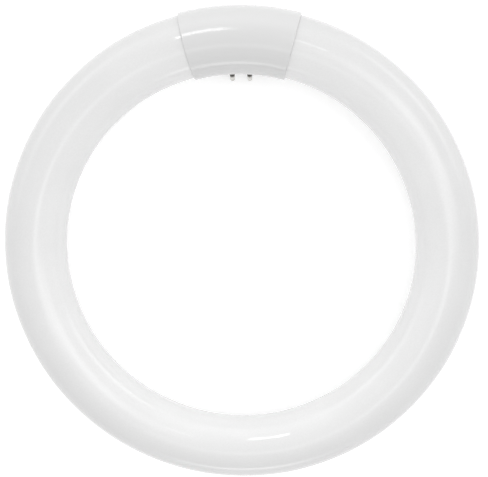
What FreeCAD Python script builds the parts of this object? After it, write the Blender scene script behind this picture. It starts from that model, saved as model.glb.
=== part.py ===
import FreeCAD, Part
import math
import os
import Sketcher
from FreeCAD import Placement, Rotation, Vector

# A circular fluorescent tube that lies flat. The ring's axis is Z, its cap is towards +Y,
# and the four contact pins point to the ring's middle and down. Z = 0 is the lowest pin tip.

# Driving dimensions: name, millimetres or degrees, meaning
SIZES = (
    ("ring_radius", 94.0, "axis of the ring to the centreline of the tube"),
    ("glass_diameter", 28.2, "outside of the glass"),
    ("glass_gap", 23.0, "between the two ends of the glass, along the centreline"),
    ("shoulder_radius", 4.0, "rounding where the glass is drawn in at its ends"),
    ("stem_mouth_diameter", 17.0, "mouth of the hollow in each end of the glass"),
    ("stem_floor_diameter", 12.0, "floor of that hollow"),
    ("stem_depth", 8.0, "depth of that hollow"),
    ("exhaust_diameter", 3.6, "sealed exhaust tip in the hollow"),
    ("exhaust_length", 12.0, "floor of the hollow to the end of the exhaust tip"),
    ("exhaust_taper_length", 3.6, "stretch over which the exhaust tip closes"),
    ("exhaust_taper_diameter", 2.9, "exhaust tip in the middle of that stretch"),
    ("exhaust_seal_diameter", 0.9, "sealed end of the exhaust tip"),
    ("cap_length", 47.5, "cap along the centreline"),
    ("cap_wall", 0.85, "moulded wall of the cap over the glass"),
    ("cap_clearance", 0.15, "glass to the inside of the cap"),
    ("cap_edge_radius", 0.45, "rounding of the cap's outer end edges"),
    ("seam_bevel", 0.2, "bevel along the outer edges of the seam between the shells"),
    ("grip_rib_width", 1.2, "rib inside the cap that grips the glass, along the centreline"),
    ("grip_rib_inset", 2.5, "end of the cap to the middle of that rib"),
    ("band_thickness", 1.4, "added to the wall between the ends of the glass"),
    ("band_clearance", 0.3, "that band to the end of the glass"),
    ("hook_width", 5.0, "snap hook along the centreline"),
    ("hook_spread", 13.0, "between the middles of the two hooks of one side"),
    ("hook_thickness", 0.9, "tongue of a snap hook"),
    ("hook_root", 4.0, "height above the seam at which a hook is rooted"),
    ("hook_reach", 3.0, "depth below the seam to which a hook goes"),
    ("hook_barb", 0.45, "how far the barb stands out"),
    ("hook_barb_height", 1.4, "height of the barb"),
    ("hook_clearance", 0.15, "hook to the wall and pocket that hold it"),
    ("pin_tilt", 45.0, "slope of the pins below the plane of the ring, in degrees"),
    ("pin_column_spacing", 7.92, "between pins along the tube"),
    ("pin_row_spacing", 6.35, "between pins across the tube"),
    ("pin_diameter", 2.36, "contact pin"),
    ("pin_length", 6.4, "contact pin beyond the face that it stands on"),
    ("pin_tip_radius", 0.7, "rounding of the pin's tip"),
    ("pin_bore", 1.1, "hollow of the pin"),
    ("pin_crimp_length", 1.6, "stretch at the tip that is closed on the lead"),
    ("pin_flange_diameter", 3.5, "flange inside the cap"),
    ("pin_flange_thickness", 0.6, "thickness of that flange"),
    ("pin_shank_diameter", 2.8, "thicker shank of the pin in its hole in the cap"),
    ("pin_clearance", 0.03, "shank to that hole"),
    ("seat_length", 16.0, "flat pin face along the tube"),
    ("seat_width", 10.4, "flat pin face across the tube"),
    ("seat_height", 0.5, "pin face beyond the round of the cap"),
    ("seat_thickness", 3.8, "plastic under the pin face"),
    ("seat_corner_radius", 2.5, "corners of the pin face"),
    ("seat_edge_radius", 0.2, "rounding along the edge of the pin face"),
    ("lead_diameter", 0.5, "lead wire"),
    ("lead_spread", 7.0, "between the two leads of one end of the glass"),
    ("lead_bend_radius", 2.4, "centreline of the bend towards the pin"),
    ("lead_clearance", 0.04, "lead to what it meets"),
    ("lead_recess", 0.2, "end of the lead behind the tip of the pin"),
    ("lead_sleeve_diameter", 1.7, "insulating sleeve on the lead"),
    ("lead_sleeve_bore", 0.7, "bore of that sleeve"),
    ("lead_sleeve_start", 0.3, "floor of the hollow to the start of the sleeve"),
    ("lead_sleeve_length", 12.0, "length of that sleeve"),
)

# Sizes worked out from the driving dimensions, as expressions of the sheet
GLASS_RADIUS = "(sizes.glass_diameter / 2)"
CAP_INSIDE = f"({GLASS_RADIUS} + sizes.cap_clearance)"
CAP_OUTSIDE = f"({CAP_INSIDE} + sizes.cap_wall)"
BAND_INSIDE = f"({CAP_INSIDE} - sizes.band_thickness)"
WITHIN_WALL = f"({CAP_INSIDE} + sizes.cap_wall / 2)"
DEGREES_PER_LENGTH = "(180 / pi / sizes.ring_radius)"
GAP_HALF_ANGLE = f"(sizes.glass_gap / 2 * {DEGREES_PER_LENGTH})"
CAP_ANGLE = f"(sizes.cap_length * {DEGREES_PER_LENGTH})"
GRIP_RIB_ANGLE = f"(sizes.grip_rib_width * {DEGREES_PER_LENGTH})"
GRIP_RIB_TURN = f"((sizes.cap_length / 2 - sizes.grip_rib_inset) * {DEGREES_PER_LENGTH})"
BAND_ANGLE = f"((sizes.glass_gap - 2 * sizes.band_clearance) * {DEGREES_PER_LENGTH})"
HOOK_ANGLE = f"(sizes.hook_width * {DEGREES_PER_LENGTH})"
HOOK_POCKET_ANGLE = f"((sizes.hook_width + 2 * sizes.hook_clearance) * {DEGREES_PER_LENGTH})"
HOOK_HALF_SPREAD = f"(sizes.hook_spread / 2 * {DEGREES_PER_LENGTH})"
HOOK_OUTSIDE = f"({BAND_INSIDE} - sizes.hook_clearance)"
HOOK_INSIDE = f"({HOOK_OUTSIDE} - sizes.hook_thickness)"
HOOK_BARB_OUTSIDE = f"({HOOK_OUTSIDE} + sizes.hook_barb)"
PIN_RADIUS = "(sizes.pin_diameter / 2)"
PIN_FACE = f"({CAP_OUTSIDE} + sizes.seat_height)"
PIN_CRIMP_RADIUS = "(sizes.lead_diameter / 2 + sizes.lead_clearance)"
RING_HEIGHT = (
    f"(({PIN_FACE} + sizes.pin_length - sizes.pin_tip_radius) * sin(sizes.pin_tilt)"
    f" + (sizes.pin_row_spacing / 2 + {PIN_RADIUS} - sizes.pin_tip_radius) * cos(sizes.pin_tilt)"
    " + sizes.pin_tip_radius)"
)

SIDES = {"left": -1, "right": 1}
ROWS = {"upper": -1, "lower": 1}

# Two lengths in millimetres that differ by less are the same
TOLERANCE = 1e-4

document = FreeCAD.newDocument("circular_fluorescent_tube")
sheet = document.addObject("Spreadsheet::Sheet", "sizes")
for line, (name, size, meaning) in enumerate(SIZES, start=1):
    sheet.set(f"A{line}", meaning)
    sheet.set(f"B{line}", str(size))
    sheet.setAlias(f"B{line}", name)
document.recompute()


def number(expression):
    """What an expression of the sheet's sizes comes to."""
    return float(sheet.evalExpression(expression))


# Bodies, planes and sketches


def new_body(label):
    """A body whose own zero plane is the plane of the ring."""
    body = document.addObject("PartDesign::Body", label)
    body.Label = label
    body.setExpression(".Placement.Base.z", RING_HEIGHT)
    return body


def origin_feature(body, role):
    """One of the body's own planes or axes."""
    return next(item for item in body.Origin.OriginFeatures if item.Role == role)


def new_sketch(body, name, role):
    """A sketch on one of the body's own planes."""
    sketch = body.newObject("Sketcher::SketchObject", name)
    sketch.AttachmentSupport = (origin_feature(body, role), [""])
    sketch.MapMode = "FlatFace"
    return sketch


def section_sketch(body, name, turn="0"):
    """A sketch across the tube: right is away from the ring's axis, up is Z.

    It is turned about that axis by the angle turn, from the middle of the cap to its right.
    """
    sketch = new_sketch(body, name, "YZ_Plane")
    sketch.AttachmentOffset = Placement(Vector(0, 0, 0), Rotation(Vector(0, 1, 0), -1))
    sketch.setExpression("AttachmentOffset.Rotation.Angle", f"-({turn})")
    return sketch


def bind(sketch, kind, places, expression):
    """A constraint whose value follows the sheet."""
    index = sketch.addConstraint(Sketcher.Constraint(kind, *places, number(expression)))
    sketch.setExpression(f"Constraints[{index}]", expression)


def bind_point(sketch, geometry, point, across, up):
    """Hold one point of a sketch at a place given by two expressions."""
    bind(sketch, "DistanceX", (-1, 1, geometry, point), across)
    bind(sketch, "DistanceY", (-1, 1, geometry, point), up)


def draw_outline(sketch, corners):
    """A closed outline with straight sides; each corner is a pair of expressions."""
    points = [Vector(number(across), number(up), 0) for across, up in corners]
    lines = [
        sketch.addGeometry(Part.LineSegment(start, end))
        for start, end in zip(points, points[1:] + points[:1])
    ]
    for line, next_line in zip(lines, lines[1:] + lines[:1]):
        sketch.addConstraint(Sketcher.Constraint("Coincident", line, 2, next_line, 1))
    for line, (across, up) in zip(lines, corners):
        bind_point(sketch, line, 1, across, up)


def draw_circle(sketch, across, up, diameter):
    """A circle whose centre and diameter are expressions."""
    centre = Vector(number(across), number(up), 0)
    circle = sketch.addGeometry(Part.Circle(centre, Vector(0, 0, 1), number(diameter) / 2))
    bind_point(sketch, circle, 3, across, up)
    bind(sketch, "Diameter", (circle,), diameter)


def draw_half_ring(sketch, inside, outside, upwards):
    """Half of the wall round the tube, above or below the seam of the cap."""
    centre = Vector(number("sizes.ring_radius"), 0, 0)
    start = 0 if upwards else math.pi
    arcs = []
    for radius in (outside, inside):
        circle = Part.Circle(centre, Vector(0, 0, 1), number(radius))
        arc = sketch.addGeometry(Part.ArcOfCircle(circle, start, start + math.pi))
        bind_point(sketch, arc, 3, "sizes.ring_radius", "0")
        bind(sketch, "Radius", (arc,), radius)
        for end in (1, 2):
            sketch.addConstraint(Sketcher.Constraint("PointOnObject", arc, end, -1))
        arcs.append(arc)
    for end in (1, 2):
        points = [sketch.getPoint(arc, end) for arc in arcs]
        line = sketch.addGeometry(Part.LineSegment(*points))
        for arc, line_end in zip(arcs, (1, 2)):
            sketch.addConstraint(Sketcher.Constraint("Coincident", arc, end, line, line_end))


def draw_rounded_rectangle(sketch, length, width, corner):
    """A rectangle about the sketch's own centre, with round corners."""
    radius = number(corner)
    arcs = []
    for quarter, (right, up) in enumerate(((1, 1), (-1, 1), (-1, -1), (1, -1))):
        across = f"{right} * ({length} / 2 - {corner})"
        above = f"{up} * ({width} / 2 - {corner})"
        circle = Part.Circle(Vector(number(across), number(above), 0), Vector(0, 0, 1), radius)
        start = quarter * math.pi / 2
        arc = sketch.addGeometry(Part.ArcOfCircle(circle, start, start + math.pi / 2))
        bind_point(sketch, arc, 3, across, above)
        bind(sketch, "Radius", (arc,), corner)
        arcs.append(arc)
    for arc, next_arc in zip(arcs, arcs[1:] + arcs[:1]):
        ends = (sketch.getPoint(arc, 2), sketch.getPoint(next_arc, 1))
        side = sketch.addGeometry(Part.LineSegment(*ends))
        sketch.addConstraint(Sketcher.Constraint("Tangent", arc, 2, side, 1))
        sketch.addConstraint(Sketcher.Constraint("Tangent", side, 2, next_arc, 1))


# Features


def revolve(body, name, sketch, axis, angle="360", cut=False):
    """Turn a sketch about an axis, half of the angle to each side, to add or to cut."""
    kind = "PartDesign::Groove" if cut else "PartDesign::Revolution"
    feature = body.newObject(kind, name)
    feature.Profile = sketch
    feature.ReferenceAxis = axis
    feature.Midplane = True
    feature.Angle = number(angle)
    feature.setExpression("Angle", angle)
    document.recompute()
    return feature


def ring_axis(body):
    """The axis of the ring, as a revolution takes it."""
    return (origin_feature(body, "Z_Axis"), [""])


def mirror_left(body, name, features):
    """Repeat features of the right side on the left side."""
    mirrored = body.newObject("PartDesign::Mirrored", name)
    mirrored.Originals = features
    mirrored.MirrorPlane = (origin_feature(body, "YZ_Plane"), [""])
    body.Tip = mirrored
    document.recompute()
    return mirrored


def fillet(body, name, base, radius, wanted):
    """Round the edges of a feature that the test wanted picks."""
    edges = [f"Edge{place}" for place, edge in enumerate(base.Shape.Edges, start=1) if wanted(edge)]
    feature = body.newObject("PartDesign::Fillet", name)
    feature.Base = (base, edges)
    feature.Radius = number(radius)
    feature.setExpression("Radius", radius)
    document.recompute()
    return feature


def is_circle(edge, radius):
    """Whether an edge is part of a circle of this radius."""
    return isinstance(edge.Curve, Part.Circle) and abs(edge.Curve.Radius - radius) < TOLERANCE


# The sealed glass ring


def end_sketch(body, name):
    """A sketch in the plane of the ring at the right end of the glass.

    Up runs out of the glass along its centreline, and right runs away from the ring's axis.
    """
    sketch = new_sketch(body, name, "XY_Plane")
    sketch.AttachmentOffset = Placement(Vector(0, 0, 0), Rotation(Vector(0, 0, 1), 90))
    sketch.setExpression("AttachmentOffset.Base.x", f"sizes.ring_radius * sin({GAP_HALF_ANGLE})")
    sketch.setExpression("AttachmentOffset.Base.y", f"sizes.ring_radius * cos({GAP_HALF_ANGLE})")
    sketch.setExpression("AttachmentOffset.Rotation.Angle", f"90 - {GAP_HALF_ANGLE}")
    return sketch


def make_glass_tube():
    """One sealed solid: the ring, its drawn-in ends, stem hollows and exhaust tips."""
    body = new_body("glass_tube")
    section = section_sketch(body, "glass_section")
    draw_circle(section, "-sizes.ring_radius", "0", "sizes.glass_diameter")
    ring = revolve(body, "glass_ring", section, ring_axis(body), f"360 - 2 * {GAP_HALF_ANGLE}")
    fillet(body, "end_shoulders", ring, "sizes.shoulder_radius",
           lambda edge: is_circle(edge, number(GLASS_RADIUS)))

    hollow_section = end_sketch(body, "stem_hollow_section")
    clear_of_glass = "sizes.shoulder_radius"
    draw_outline(hollow_section, (
        ("0", "-sizes.stem_depth"),
        ("sizes.stem_floor_diameter / 2", "-sizes.stem_depth"),
        ("sizes.stem_mouth_diameter / 2", "0"),
        ("sizes.stem_mouth_diameter / 2", clear_of_glass),
        ("0", clear_of_glass),
    ))
    hollow = revolve(body, "stem_hollow", hollow_section, (hollow_section, ["V_Axis"]), cut=True)

    tip_section = end_sketch(body, "exhaust_tip_section")
    tip_radius = "(sizes.exhaust_diameter / 2)"
    tip_root = f"-sizes.stem_depth - {tip_radius}"
    tip_end = "(sizes.exhaust_length - sizes.stem_depth)"
    draw_outline(tip_section, (
        ("0", tip_root),
        (tip_radius, tip_root),
        (tip_radius, f"{tip_end} - sizes.exhaust_taper_length"),
        ("sizes.exhaust_taper_diameter / 2", f"{tip_end} - sizes.exhaust_taper_length / 2"),
        ("sizes.exhaust_seal_diameter / 2", tip_end),
        ("0", tip_end),
    ))
    tip = revolve(body, "exhaust_tip", tip_section, (tip_section, ["V_Axis"]))
    mirror_left(body, "left_end", [hollow, tip])
    return body


# The moulded cap in two half shells


def make_shell(label, upwards):
    """The wall over the glass, its grip ribs, and the thicker band between the glass ends."""
    body = new_body(label)
    wall_section = section_sketch(body, "wall_section")
    draw_half_ring(wall_section, CAP_INSIDE, CAP_OUTSIDE, upwards)
    revolve(body, "wall", wall_section, ring_axis(body), CAP_ANGLE)
    band_section = section_sketch(body, "band_section")
    draw_half_ring(band_section, BAND_INSIDE, WITHIN_WALL, upwards)
    band = revolve(body, "band", band_section, ring_axis(body), BAND_ANGLE)
    fillet(body, "rounded_ends", band, "sizes.cap_edge_radius",
           lambda edge: is_circle(edge, number(CAP_OUTSIDE)))
    bevel_seam(body, 1 if upwards else -1)
    rib_section = section_sketch(body, "grip_rib_section", GRIP_RIB_TURN)
    draw_half_ring(rib_section, GLASS_RADIUS, WITHIN_WALL, upwards)
    rib = revolve(body, "right_grip_rib", rib_section, ring_axis(body), GRIP_RIB_ANGLE)
    mirror_left(body, "left_grip_rib", [rib])
    return body


def draw_on_both_sides(sketch, corners):
    """An outline beside the outer wall of the cap, and its twin beside the inner wall."""
    for side in (1, -1):
        draw_outline(sketch, [(f"sizes.ring_radius + {side} * {out}", up) for out, up in corners])


def bevel_seam(body, up):
    """Bevel the outer edges of the seam, so that a fine groove shows where the shells meet."""
    section = section_sketch(body, "seam_bevel_section")
    beyond = f"({CAP_OUTSIDE} + sizes.seam_bevel)"
    past_both_ends = f"{CAP_ANGLE} + 1"
    draw_on_both_sides(section, (
        (f"({CAP_OUTSIDE} - sizes.seam_bevel)", "0"),
        (beyond, f"{up} * 2 * sizes.seam_bevel"),
        (beyond, "0"),
    ))
    revolve(body, "seam_bevel", section, ring_axis(body), past_both_ends, cut=True)


def add_hooks(body):
    """Four snap hooks that reach past the seam into the other shell."""
    section = section_sketch(body, "hook_section", HOOK_HALF_SPREAD)
    barb_top = "sizes.hook_barb_height - sizes.hook_reach"
    draw_on_both_sides(section, (
        (HOOK_INSIDE, "sizes.hook_root"),
        (HOOK_INSIDE, "-sizes.hook_reach"),
        (f"({HOOK_OUTSIDE} - sizes.hook_barb / 2)", "-sizes.hook_reach"),
        (HOOK_BARB_OUTSIDE, "sizes.hook_barb_height / 2 - sizes.hook_reach"),
        (HOOK_BARB_OUTSIDE, barb_top),
        (HOOK_OUTSIDE, barb_top),
        (HOOK_OUTSIDE, "sizes.hook_root"),
    ))
    hooks = revolve(body, "right_hooks", section, ring_axis(body), HOOK_ANGLE)
    mirror_left(body, "left_hooks", [hooks])


def cut_hook_pockets(body):
    """Channels and catches in the band for the hooks of the other shell."""
    section = section_sketch(body, "pocket_section", HOOK_HALF_SPREAD)
    floor = "-sizes.hook_reach - sizes.hook_clearance"
    catch_top = "sizes.hook_barb_height - sizes.hook_reach + sizes.hook_clearance"
    catch_wall = f"({HOOK_BARB_OUTSIDE} + sizes.hook_clearance)"
    channel_inside = f"({HOOK_INSIDE} - sizes.hook_thickness)"
    draw_on_both_sides(section, (
        (channel_inside, "0"),
        (channel_inside, floor),
        (catch_wall, floor),
        (catch_wall, catch_top),
        (BAND_INSIDE, catch_top),
        (BAND_INSIDE, "0"),
    ))
    pockets = revolve(body, "right_pockets", section, ring_axis(body), HOOK_POCKET_ANGLE, cut=True)
    mirror_left(body, "left_pockets", [pockets])


def pin_face_sketch(body, name):
    """A sketch on the flat pin face: right is X, up is towards the upper row of pins."""
    sketch = new_sketch(body, name, "XZ_Plane")
    sketch.AttachmentOffset = Placement(Vector(0, 0, 0), Rotation(Vector(1, 0, 0), 45))
    sketch.setExpression("AttachmentOffset.Rotation.Angle", "sizes.pin_tilt")
    sketch.setExpression("AttachmentOffset.Base.y", f"-{PIN_FACE} * sin(sizes.pin_tilt)")
    sketch.setExpression("AttachmentOffset.Base.z",
                         f"{PIN_FACE} * cos(sizes.pin_tilt) - sizes.ring_radius")
    return sketch


def add_pin_seat(body):
    """The block with the flat pin face, and the four holes through it."""
    outline = pin_face_sketch(body, "seat_outline")
    draw_rounded_rectangle(outline, "sizes.seat_length", "sizes.seat_width",
                           "sizes.seat_corner_radius")
    seat = body.newObject("PartDesign::Pad", "pin_seat")
    seat.Profile = outline
    seat.Reversed = True
    seat.setExpression("Length", "sizes.seat_thickness")
    document.recompute()

    face_depth = number(PIN_FACE)
    tilt = math.radians(number("sizes.pin_tilt"))
    outward = Vector(0, -math.cos(tilt), -math.sin(tilt))
    middle = Vector(0, number("sizes.ring_radius"), 0)

    def in_pin_face(edge):
        ends = [vertex.Point for vertex in edge.Vertexes]
        return all(abs((end - middle).dot(outward) - face_depth) < TOLERANCE for end in ends)

    fillet(body, "seat_edge", seat, "sizes.seat_edge_radius", in_pin_face)

    hole_sketch = pin_face_sketch(body, "pin_hole_circles")
    for side in SIDES.values():
        for row in ROWS.values():
            draw_circle(hole_sketch, f"{side} * sizes.pin_column_spacing / 2",
                        f"{row} * sizes.pin_row_spacing / 2",
                        "sizes.pin_shank_diameter + 2 * sizes.pin_clearance")
    holes = body.newObject("PartDesign::Pocket", "pin_holes")
    holes.Profile = hole_sketch
    holes.setExpression("Length", "sizes.seat_thickness + sizes.band_thickness")
    document.recompute()


def make_front_shell():
    """The shell that faces away from the pins, with the snap hooks."""
    body = make_shell("cap_front_shell", upwards=True)
    add_hooks(body)
    return body


def make_rear_shell():
    """The shell that carries the pins, with the pockets for the snap hooks."""
    body = make_shell("cap_rear_shell", upwards=False)
    add_pin_seat(body)
    cut_hook_pockets(body)
    return body


# Contact pins


def pin_place(side, row, beyond="0"):
    """Expressions for a point on a pin's axis, this far beyond the pin face."""
    along = f"({PIN_FACE} + {beyond})"
    across = f"({row} * sizes.pin_row_spacing / 2)"
    return (
        f"{side} * sizes.pin_column_spacing / 2",
        f"sizes.ring_radius - {along} * cos(sizes.pin_tilt) + {across} * sin(sizes.pin_tilt)",
        f"{RING_HEIGHT} - {along} * sin(sizes.pin_tilt) - {across} * cos(sizes.pin_tilt)",
    )


def make_contact_pin(label, side, row):
    """A hollow pin with a flange inside the cap and a tip closed on its lead."""
    body = document.addObject("PartDesign::Body", label)
    body.Label = label
    body.Placement = Placement(Vector(0, 0, 0), Rotation(Vector(1, 0, 0), 135))
    body.setExpression(".Placement.Rotation.Angle", "90 + sizes.pin_tilt")
    for axis, expression in zip("xyz", pin_place(side, row)):
        body.setExpression(f".Placement.Base.{axis}", expression)

    section = new_sketch(body, "pin_section", "XZ_Plane")
    flange_seat = "-sizes.seat_thickness"
    flange_top = "-sizes.seat_thickness - sizes.pin_flange_thickness"
    crimp = "sizes.pin_length - sizes.pin_crimp_length"
    draw_outline(section, (
        ("sizes.pin_bore / 2", flange_top),
        ("sizes.pin_flange_diameter / 2", flange_top),
        ("sizes.pin_flange_diameter / 2", flange_seat),
        ("sizes.pin_shank_diameter / 2", flange_seat),
        ("sizes.pin_shank_diameter / 2", "0"),
        (PIN_RADIUS, "0"),
        (PIN_RADIUS, "sizes.pin_length"),
        (PIN_CRIMP_RADIUS, "sizes.pin_length"),
        (PIN_CRIMP_RADIUS, crimp),
        ("sizes.pin_bore / 2", f"{crimp} - sizes.pin_bore / 2"),
    ))
    pin = revolve(body, "pin", section, (origin_feature(body, "Z_Axis"), [""]))
    tip_height = number("sizes.pin_length")
    fillet(body, "round_tip", pin, "sizes.pin_tip_radius",
           lambda edge: is_circle(edge, number(PIN_RADIUS))
           and abs(edge.Curve.Center.z - tip_height) < TOLERANCE)
    return body


# Leads and their sleeves


def vector(expressions):
    """A point given by three expressions."""
    return Vector(*[number(expression) for expression in expressions])


def lead_route(side, row):
    """Where a lead starts in the glass, bends, and ends in its pin."""
    half_gap = math.radians(number(GAP_HALF_ANGLE))
    tilt = math.radians(number("sizes.pin_tilt"))
    from_axis = Vector(side * math.sin(half_gap), math.cos(half_gap), 0)
    into_glass = Vector(side * math.cos(half_gap), -math.sin(half_gap), 0)
    across = (from_axis * math.sin(tilt) - Vector(0, 0, math.cos(tilt))) * row
    start = (Vector(0, 0, number(RING_HEIGHT)) + from_axis * number("sizes.ring_radius")
             + into_glass * number("sizes.stem_depth - sizes.lead_clearance")
             + across * number("sizes.lead_spread / 2"))
    bend = vector(pin_place(side, row, f"-{PIN_FACE}"))
    end = vector(pin_place(side, row, "sizes.pin_length - sizes.lead_recess"))
    return start, bend, end


def make_lead_wire(label, side, row):
    """A lead: two straight runs and the bend between them, swept by a round section."""
    start, bend, end = lead_route(side, row)
    radius = number("sizes.lead_bend_radius")
    back = (start - bend).normalize()
    onward = (end - bend).normalize()
    tangent_length = radius / math.tan(back.getAngle(onward) / 2)
    middle_line = (back + onward).normalize()
    centre = bend + middle_line * math.hypot(radius, tangent_length)
    bend_start = bend + back * tangent_length
    bend_end = bend + onward * tangent_length
    path = Part.Wire([
        Part.LineSegment(start, bend_start).toShape(),
        Part.Arc(bend_start, centre - middle_line * radius, bend_end).toShape(),
        Part.LineSegment(bend_end, end).toShape(),
    ])
    section = Part.Wire(Part.makeCircle(number("sizes.lead_diameter / 2"), start, back * -1))
    lead = document.addObject("Part::Feature", label)
    lead.Label = label
    lead.Shape = path.makePipeShell([section], True, False)
    lead.Placement = Placement()
    return lead


def make_lead_sleeve(label, side, row):
    """A short insulating tube on the straight run of a lead."""
    start, bend, _ = lead_route(side, row)
    run = (bend - start).normalize()
    body = document.addObject("PartDesign::Body", label)
    body.Label = label
    body.Placement = Placement(start + run * number("sizes.lead_sleeve_start"),
                               Rotation(Vector(0, 0, 1), run))
    section = new_sketch(body, "sleeve_section", "XY_Plane")
    draw_circle(section, "0", "0", "sizes.lead_sleeve_diameter")
    draw_circle(section, "0", "0", "sizes.lead_sleeve_bore")
    sleeve = body.newObject("PartDesign::Pad", "sleeve")
    sleeve.Profile = section
    sleeve.setExpression("Length", "sizes.lead_sleeve_length")
    document.recompute()
    return body


# Build, test and write every sub-part


def make_parts():
    """Every separate piece of the tube."""
    parts = [make_glass_tube(), make_front_shell(), make_rear_shell()]
    for side_name, side in SIDES.items():
        for row_name, row in ROWS.items():
            place = f"{side_name}_{row_name}"
            parts.append(make_contact_pin(f"contact_pin_{place}", side, row))
            parts.append(make_lead_wire(f"lead_wire_{place}", side, row))
            parts.append(make_lead_sleeve(f"lead_sleeve_{place}", side, row))
    return parts


def check_cuts(body):
    """Stop if a feature that should cut a body leaves it as large as before."""
    for feature in body.Group:
        if feature.TypeId in ("PartDesign::Groove", "PartDesign::Pocket"):
            if feature.Shape.Volume > feature.BaseFeature.Shape.Volume - TOLERANCE:
                raise RuntimeError(f"{feature.Name} of {body.Label} cuts nothing")


def check_document(parts):
    """Stop if an object failed or a sub-part isn't one sound solid."""
    for item in document.Objects:
        if "Invalid" in item.State or "Error" in item.State:
            raise RuntimeError(f"{item.Name} of the model failed: {item.State}")
    for part in parts:
        shape = part.Shape
        if shape.isNull() or not shape.isValid() or len(shape.Solids) != 1:
            raise RuntimeError(f"{part.Label} isn't one sound solid")
        if part.TypeId == "PartDesign::Body":
            check_cuts(part)


def write_parts(parts):
    """Write each sub-part to a file named after its label."""
    os.makedirs("parts", exist_ok=True)
    for part in parts:
        part.Shape.exportStep(f"parts/{part.Label}.step")
        print(f"{part.Label}: {part.Shape.Volume:.1f} cubic mm")


all_parts = make_parts()
document.recompute()
check_document(all_parts)
write_parts(all_parts)
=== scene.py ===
import math

import bmesh
import bpy
from mathutils import Matrix, Vector


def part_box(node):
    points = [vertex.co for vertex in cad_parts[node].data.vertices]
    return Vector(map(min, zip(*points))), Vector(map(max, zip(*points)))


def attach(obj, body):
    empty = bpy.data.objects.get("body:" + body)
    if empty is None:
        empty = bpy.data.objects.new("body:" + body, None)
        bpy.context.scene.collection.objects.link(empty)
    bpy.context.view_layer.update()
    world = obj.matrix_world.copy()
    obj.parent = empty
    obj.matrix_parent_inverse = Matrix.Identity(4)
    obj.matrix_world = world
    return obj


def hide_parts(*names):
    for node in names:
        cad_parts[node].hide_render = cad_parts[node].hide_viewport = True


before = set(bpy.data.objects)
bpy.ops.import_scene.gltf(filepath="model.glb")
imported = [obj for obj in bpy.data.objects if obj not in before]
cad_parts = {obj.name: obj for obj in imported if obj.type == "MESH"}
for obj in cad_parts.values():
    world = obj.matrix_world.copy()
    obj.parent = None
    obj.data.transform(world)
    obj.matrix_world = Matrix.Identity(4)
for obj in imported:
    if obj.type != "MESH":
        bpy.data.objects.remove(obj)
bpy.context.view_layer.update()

bl_info = {
    "name": "Circular fluorescent tube",
    "version": (1, 0, 0),
    "blender": (4, 5, 0),
    "location": "View3D > Sidebar > Ring Tube",
    "description": "Dresses the ring tube: coated glass, moulded cap, contact pins, leads, stage",
    "category": "Object",
}

MM = 0.001
BODY = "root"
CAP_NODES = ("cap_front_shell", "cap_rear_shell")
PIN_NODES = sorted(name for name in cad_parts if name.startswith("contact_pin"))
WIRE_NODES = sorted(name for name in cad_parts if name.startswith("lead_wire"))
SLEEVE_NODES = sorted(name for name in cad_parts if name.startswith("lead_sleeve"))

# The ring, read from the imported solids
GLASS_LOW, GLASS_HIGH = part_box("glass_tube")
GLASS_RADIUS = (GLASS_HIGH.z - GLASS_LOW.z) / 2
RING_HEIGHT = (GLASS_HIGH.z + GLASS_LOW.z) / 2
RING_RADIUS = GLASS_HIGH.x - GLASS_RADIUS


# Colours and nodes


def linear(colour):
    """An sRGB hex colour as linear values, with full alpha."""
    channels = [int(colour[place:place + 2], 16) / 255 for place in (1, 3, 5)]
    return tuple(
        value / 12.92 if value <= 0.04045 else ((value + 0.055) / 1.055) ** 2.4
        for value in channels
    ) + (1.0,)


def add_node(tree, kind, inputs=None, **settings):
    """Add a node with its settings and links.

    An input is named, and gets a value, a socket, or the first output of another node.
    """
    new = tree.nodes.new(kind)
    for name, value in settings.items():
        setattr(new, name, value)
    for name, value in (inputs or {}).items():
        named = (socket for socket in new.inputs if socket.enabled and socket.name == name)
        target = new.inputs[name] if isinstance(name, int) else next(named)
        if isinstance(value, bpy.types.Node):
            value = next(socket for socket in value.outputs if socket.enabled)
        if isinstance(value, bpy.types.NodeSocket):
            tree.links.new(value, target)
        else:
            target.default_value = value
    return new


def new_material(name):
    """An empty material and its node tree."""
    material = bpy.data.materials.new(name)
    material.use_nodes = True
    material.node_tree.nodes.clear()
    return material, material.node_tree


def seen_directly(tree):
    """1 for rays from the camera, from a reflection or through glass, and 0 for light."""
    path = add_node(tree, "ShaderNodeLightPath")
    seen = path.outputs["Is Camera Ray"]
    for output in ("Is Glossy Ray", "Is Transmission Ray"):
        seen = add_node(
            tree, "ShaderNodeMath", {0: seen, 1: path.outputs[output]}, operation="MAXIMUM",
        ).outputs[0]
    return seen


# Materials


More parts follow.
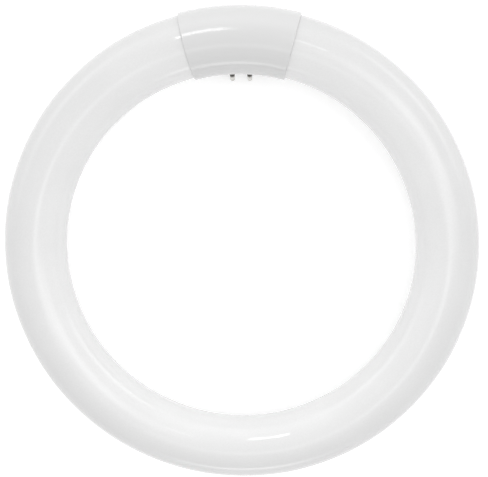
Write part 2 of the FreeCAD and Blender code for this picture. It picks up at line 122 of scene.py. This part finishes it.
def phosphor_coated_glass(settings):
    """Soda-lime glass tube, coated inside with fired white phosphor powder and bent hot.

    The powder gives a dense, even white. Its colour is painted lighter on the inside of the
    ring and greyer on the outside, as painted light and shade. The polished glass lies over it
    as a clear layer with sharp reflections, which faint draw lines along the tube unsettle.
    """
    material, tree = new_material("phosphor_coated_glass")
    place = add_node(tree, "ShaderNodeTexCoord").outputs["Object"]

    # From 0 on the outside of the ring to 1 on the inside, for the painted shade outside and the
    # painted light inside
    flat = add_node(tree, "ShaderNodeVectorMath", {0: place, 1: (1.0, 1.0, 0.0)},
                    operation="MULTIPLY")
    reach = add_node(tree, "ShaderNodeVectorMath", {0: flat}, operation="LENGTH")
    inside_share = add_node(tree, "ShaderNodeMapRange", {
        "Value": reach.outputs["Value"],
        "From Min": RING_RADIUS + GLASS_RADIUS,
        "From Max": RING_RADIUS - GLASS_RADIUS,
    })
    # Painted light and shade: the coating is lighter towards the inside of the ring and greyer
    # towards the outside
    painted_ring_shading = add_node(tree, "ShaderNodeMix", {
        "Factor": inside_share,
        "A": settings.outside_painted_shade_colour,
        "B": settings.inside_painted_light_colour,
    }, data_type="RGBA")

    # Patches where the slurry ran thicker or thinner before it was fired
    run = add_node(tree, "ShaderNodeTexNoise", {
        "Vector": place, "Scale": 1 / settings.run_size, "Detail": 2.0,
    })
    patchy = add_node(tree, "ShaderNodeMix", {
        "Factor": run, "A": (1.0, 1.0, 1.0, 1.0), "B": settings.thin_tint,
    }, data_type="RGBA")
    clouded = add_node(tree, "ShaderNodeMix", {
        "Factor": 1.0, "A": painted_ring_shading, "B": patchy,
    }, data_type="RGBA", blend_type="MULTIPLY")

    # Grains of the powder
    grains = add_node(tree, "ShaderNodeTexNoise", {
        "Vector": place, "Scale": 1 / settings.powder_grain, "Detail": 1.0,
    })
    speck = add_node(tree, "ShaderNodeMix", {
        "Factor": grains, "A": (1.0, 1.0, 1.0, 1.0), "B": settings.grain_tint,
    }, data_type="RGBA")
    powder = add_node(tree, "ShaderNodeMix", {
        "Factor": 1.0, "A": clouded, "B": speck,
    }, data_type="RGBA", blend_type="MULTIPLY")

    # Draw lines: rings of noise round the axis of the ring, so they run along the tube
    height = add_node(tree, "ShaderNodeSeparateXYZ", {0: place}).outputs["Z"]
    across = add_node(tree, "ShaderNodeCombineXYZ", {"X": reach.outputs["Value"], "Y": height})
    lines = add_node(tree, "ShaderNodeTexNoise", {
        "Vector": across, "Scale": 1 / settings.draw_line, "Detail": 1.0,
    })
    drawn = add_node(tree, "ShaderNodeBump", {
        "Height": lines, "Strength": 0.12, "Distance": settings.draw_depth,
    })

    shader = add_node(tree, "ShaderNodeBsdfPrincipled", {
        "Base Color": powder,
        "Roughness": 0.05,
        "IOR": 1.52,
        "Normal": drawn,
    })
    add_node(tree, "ShaderNodeOutputMaterial", {"Surface": shader})
    return material


def moulded_polycarbonate(settings):
    """Polycarbonate, filled white and injection moulded in a polished tool.

    It gives an even white a shade greyer than the glass, with a broad gloss, faint flow
    patches and a fine grain that only shows at the edge of a highlight.
    """
    material, tree = new_material("moulded_polycarbonate")
    place = add_node(tree, "ShaderNodeTexCoord").outputs["Object"]
    flow = add_node(tree, "ShaderNodeTexNoise", {
        "Vector": place, "Scale": 1 / settings.flow_size, "Detail": 3.0, "Distortion": 0.6,
    })
    colour = add_node(tree, "ShaderNodeMix", {
        "Factor": flow, "A": settings.plastic_colour, "B": settings.flow_colour,
    }, data_type="RGBA")
    tool = add_node(tree, "ShaderNodeTexNoise", {
        "Vector": place, "Scale": 1 / settings.tool_grain, "Detail": 2.0,
    })
    skin = add_node(tree, "ShaderNodeBump", {
        "Height": tool, "Strength": 0.1, "Distance": settings.tool_depth,
    })
    shader = add_node(tree, "ShaderNodeBsdfPrincipled", {
        "Base Color": colour,
        "Roughness": 0.14,
        "IOR": 1.58,
        "Normal": skin,
    })
    add_node(tree, "ShaderNodeOutputMaterial", {"Surface": shader})
    return material


def nickel_plated_brass(settings):
    """Brass pins, turned from tube and nickel plated.

    The tips give a bright, hardly warm grey, with turning marks round the pin. Next to the cap
    the colour is painted dark as painted shade, and it fades to the plating towards the tip.
    """
    material, tree = new_material("nickel_plated_brass")
    place = add_node(tree, "ShaderNodeTexCoord").outputs["Object"]

    # Place along the pins, which all point the same way and end level
    slope = settings.pin_slope
    axis = Vector((0.0, -math.cos(slope), -math.sin(slope)))
    tip = max(corner.co.dot(axis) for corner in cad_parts[PIN_NODES[0]].data.vertices)
    along = add_node(tree, "ShaderNodeVectorMath", {0: place, 1: axis}, operation="DOT_PRODUCT")
    # Painted shade: 0 where the pins are painted dark next to the cap, 1 towards the tips
    cap_shade_fade = add_node(tree, "ShaderNodeMapRange", {
        "Value": along.outputs["Value"],
        "From Min": tip - settings.painted_shade_until,
        "From Max": tip - settings.bright_from,
    }, interpolation_type="SMOOTHSTEP")
    wear = add_node(tree, "ShaderNodeTexNoise", {
        "Vector": place, "Scale": 1 / settings.wear_size, "Detail": 3.0,
    })
    dulled = add_node(tree, "ShaderNodeMix", {
        "Factor": wear, "A": settings.plating_colour, "B": settings.dull_colour,
    }, data_type="RGBA")
    colour = add_node(tree, "ShaderNodeMix", {
        "Factor": cap_shade_fade, "A": settings.root_painted_shade_colour, "B": dulled,
    }, data_type="RGBA")

    turned = add_node(tree, "ShaderNodeTexNoise", {
        "W": along.outputs["Value"], "Scale": 1 / settings.mark_spacing, "Detail": 1.0,
    }, noise_dimensions="1D")
    marks = add_node(tree, "ShaderNodeBump", {
        "Height": turned, "Strength": 0.3, "Distance": settings.mark_depth,
    })
    shader = add_node(tree, "ShaderNodeBsdfPrincipled", {
        "Base Color": colour,
        "Metallic": 1.0,
        "Roughness": 0.22,
        "Normal": marks,
    })
    add_node(tree, "ShaderNodeOutputMaterial", {"Surface": shader})
    return material


def copper_clad_wire(settings):
    """Nickel-iron wire with a copper skin, drawn, and oxidised where the flame sealed it in.

    It gives a dull, slightly pink grey with darker patches.
    """
    material, tree = new_material("copper_clad_wire")
    place = add_node(tree, "ShaderNodeTexCoord").outputs["Object"]
    oxide = add_node(tree, "ShaderNodeTexNoise", {
        "Vector": place, "Scale": 1 / settings.oxide_size, "Detail": 3.0,
    })
    colour = add_node(tree, "ShaderNodeMix", {
        "Factor": oxide, "A": settings.wire_colour, "B": settings.oxide_colour,
    }, data_type="RGBA")
    shader = add_node(tree, "ShaderNodeBsdfPrincipled", {
        "Base Color": colour,
        "Metallic": 1.0,
        "Roughness": 0.36,
    })
    add_node(tree, "ShaderNodeOutputMaterial", {"Surface": shader})
    return material


def silicone_rubber(settings):
    """Silicone rubber sleeving, extruded and dusted with talc so that it slides on.

    It gives a matt off-white, with fine lines along the sleeve and paler dusty patches.
    """
    material, tree = new_material("silicone_rubber")
    place = add_node(tree, "ShaderNodeTexCoord").outputs["Object"]
    dust = add_node(tree, "ShaderNodeTexNoise", {
        "Vector": place, "Scale": 1 / settings.talc_size, "Detail": 3.0,
    })
    colour = add_node(tree, "ShaderNodeMix", {
        "Factor": dust, "A": settings.rubber_colour, "B": settings.talc_colour,
    }, data_type="RGBA")
    squeezed = add_node(tree, "ShaderNodeMapping", {
        "Vector": place, "Scale": (1.0, 0.1, 1.0),
    })
    lines = add_node(tree, "ShaderNodeTexNoise", {
        "Vector": squeezed, "Scale": 1 / settings.die_line, "Detail": 1.0,
    })
    skin = add_node(tree, "ShaderNodeBump", {
        "Height": lines, "Strength": 0.4, "Distance": settings.die_depth,
    })
    shader = add_node(tree, "ShaderNodeBsdfPrincipled", {
        "Base Color": colour,
        "Roughness": 0.6,
        "IOR": 1.41,
        "Normal": skin,
    })
    add_node(tree, "ShaderNodeOutputMaterial", {"Surface": shader})
    return material


def matt_white_card(settings):
    """Uncoated white card.

    Its own colour takes the lamps and the object's shadow, and what it lacks to plain white
    is added only where the camera or a reflection sees it.
    """
    material, tree = new_material("matt_white_card")
    place = add_node(tree, "ShaderNodeTexCoord").outputs["Object"]
    fibres = add_node(tree, "ShaderNodeTexNoise", {
        "Vector": place, "Scale": 1 / settings.fibre_size, "Detail": 2.0,
    })
    tone = add_node(tree, "ShaderNodeMix", {
        "Factor": fibres, "A": settings.card_colour, "B": settings.fibre_colour,
    }, data_type="RGBA")
    card = add_node(tree, "ShaderNodeBsdfDiffuse", {"Color": tone, "Roughness": 0.5})
    share = add_node(tree, "ShaderNodeMath", {0: seen_directly(tree), 1: settings.card_lift},
                     operation="MULTIPLY")
    lift = add_node(tree, "ShaderNodeEmission", {"Color": linear("#FFFFFF"), "Strength": share})
    total = add_node(tree, "ShaderNodeAddShader", {0: card, 1: lift})
    add_node(tree, "ShaderNodeOutputMaterial", {"Surface": total})
    return material


# Sizes and colours that a user would change


def length_property(name, description, default):
    """A length in metres."""
    return bpy.props.FloatProperty(
        name=name, description=description, default=default, unit="LENGTH", precision=5,
    )


def colour_property(name, description, default):
    """A colour, given as sRGB hex."""
    return bpy.props.FloatVectorProperty(
        name=name, description=description, default=linear(default), subtype="COLOR", size=4,
        min=0.0, max=1.0,
    )


class GlassSettings(bpy.types.PropertyGroup):
    """The sealed glass ring."""

    gap: length_property("Gap", "Between the ends of the glass, inside the cap", 23.0 * MM)
    shoulder: length_property(
        "Shoulder", "Rounding where the glass is drawn in at its ends", 4.0 * MM,
    )
    stem_mouth: length_property("Stem mouth", "Radius of the hollow in each end", 8.5 * MM)
    stem_floor: length_property("Stem floor", "Radius of the floor of that hollow", 6.0 * MM)
    stem_depth: length_property("Stem depth", "Depth of that hollow", 8.0 * MM)
    exhaust_radius: length_property("Exhaust tip", "Radius of the sealed exhaust tip", 1.8 * MM)
    exhaust_length: length_property(
        "Exhaust length", "Floor of the hollow to the end of the tip", 12.0 * MM,
    )
    taper_length: length_property("Exhaust taper", "Stretch over which the tip closes", 3.6 * MM)
    taper_radius: length_property(
        "Taper radius", "Radius in the middle of that stretch", 1.45 * MM,
    )
    seal_radius: length_property("Seal radius", "Radius of the tip's sealed end", 0.45 * MM)
    ripple: length_property(
        "Ripple", "Most that the bent glass strays from a true round", 0.05 * MM,
    )
    ripple_length: length_property(
        "Ripple length", "Length of one ripple along the tube", 38.0 * MM,
    )
    steps_along: bpy.props.IntProperty(
        name="Steps along", description="Faces along the ring", default=540, min=60,
    )
    steps_round: bpy.props.IntProperty(
        name="Steps round", description="Faces round the tube", default=112, min=12,
    )
    # Painted light and shade: the coating is painted lighter on the inside of the ring and greyer
    # on the outside
    inside_painted_light_colour: colour_property(
        "Packed powder", "Coating on the inside of the bend", "#F6F6F6",
    )
    outside_painted_shade_colour: colour_property(
        "Stretched powder", "Coating on the outside of the bend", "#E2E2E2",
    )
    thin_tint: colour_property("Thin patches", "Tint where the coating ran thinner", "#F8F8F8")
    run_size: length_property("Coating runs", "Size of thicker and thinner patches", 24.0 * MM)
    grain_tint: colour_property("Grain tint", "Tint of the darker grains", "#F8F8F8")
    powder_grain: length_property(
        "Powder grain", "Grain, far coarser than the real 0.02 mm so that it shows", 0.8 * MM,
    )
    draw_line: length_property(
        "Draw lines", "Spacing, coarser than the real 0.3 mm so that they show", 2.0 * MM,
    )
    draw_depth: length_property("Draw depth", "Depth of the draw lines", 0.002 * MM)


class CapSettings(bpy.types.PropertyGroup):
    """The moulded cap."""

    plastic_colour: colour_property("Plastic", "Colour of the cap", "#DBDBDB")
    flow_colour: colour_property("Flow patches", "Colour of faint flow patches", "#D9D9D9")
    flow_size: length_property("Flow size", "Size of the flow patches", 12.0 * MM)
    tool_grain: length_property(
        "Tool grain", "Grain left by the mould, coarser than the real 0.1 mm so that it shows",
        0.6 * MM,
    )
    tool_depth: length_property("Tool depth", "Depth of that grain", 0.01 * MM)


class PinSettings(bpy.types.PropertyGroup):
    """The contact pins."""

    pin_slope: bpy.props.FloatProperty(
        name="Pin slope", description="Slope of the pins below the ring",
        default=math.radians(45), subtype="ANGLE",
    )
    plating_colour: colour_property("Plating", "Colour of the bright nickel", "#DAD9D6")
    dull_colour: colour_property("Dull plating", "Colour of duller patches", "#C8C6C2")
    # Painted shade: the pins are painted dark next to the cap, fading out towards the tips
    root_painted_shade_colour: colour_property(
        "Dark plating", "Colour of the plating next to the cap", "#53514E",
    )
    painted_shade_until: length_property("Dark until", "The dark part ends this far from the tip", 3.8 * MM)
    bright_from: length_property(
        "Bright from", "The bright part begins this far from the tip", 2.3 * MM,
    )
    wear_size: length_property("Wear", "Size of the worn patches", 1.5 * MM)
    mark_spacing: length_property(
        "Turning marks", "Spacing, coarser than the real 0.08 mm so that they show", 0.3 * MM,
    )
    mark_depth: length_property("Mark depth", "Depth of the turning marks", 0.01 * MM)


class LeadSettings(bpy.types.PropertyGroup):
    """The leads and their sleeves."""

    wire_colour: colour_property("Wire", "Colour of the bright wire", "#B5A79C")
    oxide_colour: colour_property("Oxide", "Colour where the flame met it", "#7E6C60")
    oxide_size: length_property("Oxide patches", "Size of the oxidised patches", 2.0 * MM)
    rubber_colour: colour_property("Rubber", "Colour of the sleeves", "#DAD8CB")
    talc_colour: colour_property("Talc", "Colour where talc clings", "#E6E5DF")
    talc_size: length_property("Talc patches", "Size of the dusty patches", 1.5 * MM)
    die_line: length_property(
        "Die lines", "Spacing, coarser than the real 0.05 mm so that they show", 0.2 * MM,
    )
    die_depth: length_property("Die depth", "Depth of those lines", 0.01 * MM)


class StageSettings(bpy.types.PropertyGroup):
    """Floor, lamps and camera."""

    floor_size: length_property("Floor", "Side of the floor", 6.0)
    card_colour: colour_property("Card", "Colour of the floor", "#F1F1F1")
    fibre_colour: colour_property("Card fibres", "Colour of darker fibres in the card", "#EFEFEF")
    fibre_size: length_property(
        "Fibre size", "Fibres, coarser than the real 0.1 mm so that they show", 3.0 * MM,
    )
    card_lift: bpy.props.FloatProperty(
        name="Card lift", description="White added where the card is seen, so that it is plain",
        default=0.4, min=0.0, max=1.0,
    )
    room_light: bpy.props.FloatProperty(
        name="Room light", description="Even light from all round", default=0.725, min=0.0,
    )
    lamp_level: bpy.props.FloatProperty(
        name="Lamp level", description="Strength of all lamps together", default=1.0, min=0.0,
    )
    camera_distance: length_property(
        "Camera distance", "Middle of the ring to the camera", 5 * RING_RADIUS,
    )
    camera_lean: bpy.props.FloatProperty(
        name="Camera lean", description="Lean of the view towards the cap",
        default=math.radians(10.27), subtype="ANGLE",
    )
    camera_turn: bpy.props.FloatProperty(
        name="Camera turn", description="Turn of the view to the right",
        default=math.radians(2.97), subtype="ANGLE",
    )
    focal_pixels: bpy.props.FloatProperty(
        name="Focal length", description="Focal length in pixels of the 488 pixel wide picture",
        default=1028.6,
    )
    aim_right: length_property(
        "Aim right", "The view is aimed this far right of the middle", 1.9 * MM,
    )
    aim_up: length_property("Aim up", "The view is aimed this far above the middle", 4.9 * MM)


# Glass ring

# Shares of the ripple: its short wave, its long wave and the flattening
SHORT_SHARE = 0.5
LONG_SHARE = 0.3
FLAT_SHARE = 0.2
# The short wave's length over the long wave's
WAVE_RATIO = 0.37


def ripple_at(along, around, settings):
    """How far the bent glass strays outwards at a place on the tube.

    Two slow waves along the tube and a slight flattening, as hot bending leaves them.
    """
    wave = math.tau * along / settings.ripple_length
    short = SHORT_SHARE * math.sin(wave + around)
    long = LONG_SHARE * math.sin(WAVE_RATIO * wave - 2 * around)
    return settings.ripple * (short + long + FLAT_SHARE * math.cos(2 * around))


def end_profile(settings):
    """One end of the glass as rings, from the sealed tip out to the full tube.

    Each is its distance from the middle of the cap along the centreline, how far it stands
    off that place along the straight axis of the end, and its radius.
    """
    end = settings.gap / 2
    tip = settings.exhaust_length - settings.stem_depth
    rings = [
        (end, tip, 0.0),
        (end, tip, settings.seal_radius),
        (end, tip - settings.taper_length / 2, settings.taper_radius),
        (end, tip - settings.taper_length, settings.exhaust_radius),
        (end, -settings.stem_depth, settings.exhaust_radius),
        (end, -settings.stem_depth, settings.stem_floor),
        (end, 0.0, settings.stem_mouth),
    ]
    steps = 8
    for step in range(steps + 1):
        turn = math.pi / 2 * step / steps
        along = end + settings.shoulder * (1 - math.cos(turn))
        rings.append((along, 0.0, GLASS_RADIUS - settings.shoulder * (1 - math.sin(turn))))
    return rings


def ring_of_points(along, stand_off, radius, side, settings, fade=0.0):
    """The points of one ring of glass; side is 1 at the right of the cap and -1 at the left."""
    angle = side * along / RING_RADIUS
    outwards = Vector((math.sin(angle), math.cos(angle), 0))
    to_cap = Vector((-side * math.cos(angle), side * math.sin(angle), 0))
    centre = outwards * RING_RADIUS + to_cap * stand_off + Vector((0, 0, RING_HEIGHT))
    points = []
    for step in range(settings.steps_round):
        around = math.tau * step / settings.steps_round
        reach = radius + fade * ripple_at(along, around, settings)
        points.append(centre + outwards * (reach * math.cos(around))
                      + Vector((0, 0, reach * math.sin(around))))
    return points


def glass_rings(settings):
    """Every ring of points, from one sealed end round to the other.

    The ripple grows from nothing at the ends, over the length of the gap.
    """
    ends = end_profile(settings)
    first = ends[-1][0]
    last = math.tau * RING_RADIUS - first
    rings = [ring_of_points(*place, 1, settings) for place in ends]
    for step in range(1, settings.steps_along):
        along = first + (last - first) * step / settings.steps_along
        fade = min(1.0, (along - first) / settings.gap, (last - along) / settings.gap)
        rings.append(ring_of_points(along, 0.0, GLASS_RADIUS, 1, settings, fade))
    rings += [ring_of_points(*place, -1, settings) for place in reversed(ends)]
    return rings


def fill_glass_mesh(mesh, settings):
    """Skin the rings with faces, close the tips, and turn the faces outwards."""
    shape = bmesh.new()
    rows = [[shape.verts.new(point) for point in ring] for ring in glass_rings(settings)]
    for row, next_row in zip(rows, rows[1:]):
        for step in range(settings.steps_round):
            before = step - 1
            shape.faces.new((row[before], row[step], next_row[step], next_row[before]))
    merge_distance = 0.0001 * MM
    bmesh.ops.remove_doubles(shape, verts=shape.verts, dist=merge_distance)
    bmesh.ops.recalc_face_normals(shape, faces=shape.faces)
    shape.to_mesh(mesh)
    shape.free()
    mesh.shade_smooth()


class OBJECT_OT_ring_glass(bpy.types.Operator):
    """Build the sealed glass ring with its drawn-in ends"""

    bl_idname = "object.ring_glass"
    bl_label = "Glass ring"

    def execute(self, context):
        settings = context.scene.ring_glass
        mesh = bpy.data.meshes.new("glass_ring")
        fill_glass_mesh(mesh, settings)
        mesh.materials.append(phosphor_coated_glass(settings))
        glass = bpy.data.objects.new("glass_ring", mesh)
        context.scene.collection.objects.link(glass)
        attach(glass, BODY)
        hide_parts("glass_tube")
        return {"FINISHED"}


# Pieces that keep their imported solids


def dress(names, material):
    """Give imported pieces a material."""
    for name in names:
        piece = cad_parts[name]
        piece.data.materials.clear()
        piece.data.materials.append(material)


class OBJECT_OT_ring_cap(bpy.types.Operator):
    """Finish the two moulded shells of the cap"""

    bl_idname = "object.ring_cap"
    bl_label = "Cap shells"

    def execute(self, context):
        dress(CAP_NODES, moulded_polycarbonate(context.scene.ring_cap))
        return {"FINISHED"}


class OBJECT_OT_ring_pins(bpy.types.Operator):
    """Finish the four contact pins"""

    bl_idname = "object.ring_pins"
    bl_label = "Contact pins"

    def execute(self, context):
        dress(PIN_NODES, nickel_plated_brass(context.scene.ring_pins))
        return {"FINISHED"}


class OBJECT_OT_ring_leads(bpy.types.Operator):
    """Finish the leads and their sleeves inside the cap"""

    bl_idname = "object.ring_leads"
    bl_label = "Leads and sleeves"

    def execute(self, context):
        dress(WIRE_NODES, copper_clad_wire(context.scene.ring_leads))
        dress(SLEEVE_NODES, silicone_rubber(context.scene.ring_leads))
        return {"FINISHED"}


# Stage

LAMP_DISTANCE = 1.4


def add_lamp(name, compass, height, light, size, soft=True):
    """A lamp that looks at the middle of the ring.

    compass is its direction, clockwise from the cap, and height its angle above the floor,
    both in degrees. light is how bright a white surface that faces it looks, where 1 is white.
    size is its width and height in metres. A soft lamp fades towards its rim.
    """
    settings = bpy.context.scene.ring_stage
    data = bpy.data.lights.new(name, "AREA")
    data.shape = "RECTANGLE"
    data.size, data.size_y = size
    data.energy = settings.lamp_level * light * math.pi ** 2 * LAMP_DISTANCE ** 2
    if soft:
        soften_edges(data)
    lamp = bpy.data.objects.new(name, data)
    bpy.context.scene.collection.objects.link(lamp)
    turn, rise = math.radians(compass), math.radians(height)
    towards = Vector((math.sin(turn) * math.cos(rise), math.cos(turn) * math.cos(rise),
                      math.sin(rise)))
    lamp.location = towards * LAMP_DISTANCE + Vector((0, 0, RING_HEIGHT))
    lamp.rotation_euler = towards.to_track_quat("Z", "Y").to_euler()
    return lamp


def soften_edges(data):
    """Let a lamp's cloth fade smoothly from its middle to nothing at its rim."""
    data.use_nodes = True
    tree = data.node_tree
    tree.nodes.clear()
    place = add_node(tree, "ShaderNodeNewGeometry").outputs["Parametric"]
    offset = add_node(tree, "ShaderNodeVectorMath", {0: place, 1: (0.5, 0.5, 0.0)},
                      operation="SUBTRACT")
    reach = add_node(tree, "ShaderNodeVectorMath", {0: offset}, operation="LENGTH")
    # The fade keeps this share of an even lamp's light, so its middle is brighter by as much
    kept_share = 0.236
    fade = add_node(tree, "ShaderNodeMapRange", {
        "Value": reach.outputs["Value"],
        "From Max": 0.5,
        "To Min": 1 / kept_share,
        "To Max": 0.0,
    }, interpolation_type="SMOOTHSTEP")
    cloth = add_node(tree, "ShaderNodeEmission", {"Strength": fade})
    add_node(tree, "ShaderNodeOutputLight", {"Surface": cloth})


def add_lamps():
    """Softboxes all round, and two small lamps that draw the sharp lines in the gloss."""
    add_lamp("softbox_back", 0, 20, 0.10, (2.0, 2.0))
    add_lamp("softbox_back_left", -30, 20, 0.06, (2.0, 2.0))
    add_lamp("softbox_left", -60, 15, 0.085, (2.4, 0.75))
    add_lamp("softbox_right", 54, 10, 0.10, (2.2, 0.75))
    add_lamp("softbox_front", 180, 8, 0.07, (1.6, 0.5))
    add_lamp("softbox_above", 72, 65, 0.135, (1.3, 1.3))
    add_lamp("softbox_overhead", 150, 77, 0.035, (1.1, 0.5))
    add_lamp("lamp_above_cap", -16.5, 50, 0.05, (0.27, 0.2), soft=False)
    add_lamp("lamp_above_right", 19, 63, 0.006, (0.15, 0.1), soft=False)


def add_world(settings):
    """Even room light, which the camera and reflections see as plain white."""
    world = bpy.data.worlds.new("studio")
    world.use_nodes = True
    tree = world.node_tree
    tree.nodes.clear()
    room = add_node(tree, "ShaderNodeBackground", {
        "Color": linear("#FFFFFF"), "Strength": settings.room_light,
    })
    white = add_node(tree, "ShaderNodeBackground", {"Color": linear("#FFFFFF")})
    both = add_node(tree, "ShaderNodeMixShader", {0: seen_directly(tree), 1: room, 2: white})
    add_node(tree, "ShaderNodeOutputWorld", {"Surface": both})
    bpy.context.scene.world = world


def add_floor(settings):
    """A square of card under the ring."""
    half = settings.floor_size / 2
    mesh = bpy.data.meshes.new("floor")
    corners = [(-half, -half, 0), (half, -half, 0), (half, half, 0), (-half, half, 0)]
    mesh.from_pydata(corners, [], [(0, 1, 2, 3)])
    mesh.materials.append(matt_white_card(settings))
    floor = bpy.data.objects.new("floor", mesh)
    bpy.context.scene.collection.objects.link(floor)


PICTURE_WIDTH = 488
FULL_FRAME_MM = 36
VIEW_REACH = 10


def add_camera(settings):
    """A camera at the photograph's viewing angle."""
    lean, turn = settings.camera_lean, settings.camera_turn
    towards = Vector((math.sin(turn) * math.cos(lean), math.sin(lean),
                      math.cos(turn) * math.cos(lean)))
    middle = Vector((0, 0, RING_HEIGHT))
    data = bpy.data.cameras.new("camera")
    camera = bpy.data.objects.new("camera", data)
    bpy.context.scene.collection.objects.link(camera)
    camera.location = middle + towards * settings.camera_distance
    right = Vector((0, 1, 0)).cross(towards).normalized()
    aim = middle + right * settings.aim_right + towards.cross(right) * settings.aim_up
    back = (camera.location - aim).normalized()
    right = Vector((0, 1, 0)).cross(back).normalized()
    camera.rotation_euler = Matrix((right, back.cross(right), back)).transposed().to_euler()
    data.sensor_fit = "HORIZONTAL"
    data.sensor_width = FULL_FRAME_MM
    data.lens = settings.focal_pixels / PICTURE_WIDTH * FULL_FRAME_MM
    data.clip_end = VIEW_REACH
    bpy.context.scene.camera = camera


class OBJECT_OT_ring_stage(bpy.types.Operator):
    """Add the floor, the lamps, the room light and the camera"""

    bl_idname = "object.ring_stage"
    bl_label = "Stage"

    def execute(self, context):
        settings = context.scene.ring_stage
        add_floor(settings)
        add_lamps()
        add_world(settings)
        add_camera(settings)
        context.scene.view_settings.view_transform = "Standard"
        return {"FINISHED"}


# Panel and registration

GROUPS = {
    "ring_glass": GlassSettings,
    "ring_cap": CapSettings,
    "ring_pins": PinSettings,
    "ring_leads": LeadSettings,
    "ring_stage": StageSettings,
}
OPERATORS = {
    "ring_glass": OBJECT_OT_ring_glass,
    "ring_cap": OBJECT_OT_ring_cap,
    "ring_pins": OBJECT_OT_ring_pins,
    "ring_leads": OBJECT_OT_ring_leads,
    "ring_stage": OBJECT_OT_ring_stage,
}


class VIEW3D_PT_ring_tube(bpy.types.Panel):
    """Sizes and colours of the ring tube"""

    bl_label = "Ring Tube"
    bl_space_type = "VIEW_3D"
    bl_region_type = "UI"
    bl_category = "Ring Tube"

    def draw(self, context):
        for group, operator in OPERATORS.items():
            box = self.layout.box()
            settings = getattr(context.scene, group)
            for name in GROUPS[group].__annotations__:
                box.prop(settings, name)
            box.operator(operator.bl_idname)


def register():
    """Register the settings, the operators and the panel."""
    for name, group in GROUPS.items():
        bpy.utils.register_class(group)
        setattr(bpy.types.Scene, name, bpy.props.PointerProperty(type=group))
    for kind in (*OPERATORS.values(), VIEW3D_PT_ring_tube):
        bpy.utils.register_class(kind)


def unregister():
    """Undo register."""
    for kind in (VIEW3D_PT_ring_tube, *reversed(OPERATORS.values())):
        bpy.utils.unregister_class(kind)
    for name, group in GROUPS.items():
        delattr(bpy.types.Scene, name)
        bpy.utils.unregister_class(group)


def main():
    """Dress the tube and set the stage."""
    register()
    bpy.ops.object.ring_glass()
    bpy.ops.object.ring_cap()
    bpy.ops.object.ring_pins()
    bpy.ops.object.ring_leads()
    bpy.ops.object.ring_stage()


if __name__ == "__main__":
    main()
